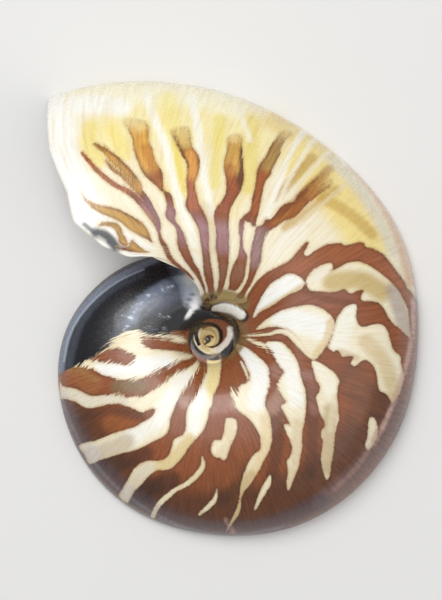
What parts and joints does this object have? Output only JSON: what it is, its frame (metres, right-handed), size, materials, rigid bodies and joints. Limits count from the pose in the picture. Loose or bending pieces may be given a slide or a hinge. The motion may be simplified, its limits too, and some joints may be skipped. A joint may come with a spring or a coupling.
{
  "type": "nautilus shell half",
  "caption": "Half of a chambered nautilus shell with flame stripes, sawn along its coil and lying on the open chambers.",
  "frame": {"origin": "the pole of the spiral, on the plane of the cut", "axes": "+Z out of the cut through the flank of the shell, +Y along the longest extent, towards the mouth's side of the coil; the coil grows counter-clockwise seen from +Z"},
  "size_m": [0.1234, 0.1513, 0.0405],
  "materials": {
    "shell": "gloss"
  },
  "bodies": {
    "root": {"shell": "shell"}
  },
  "joints": []
}
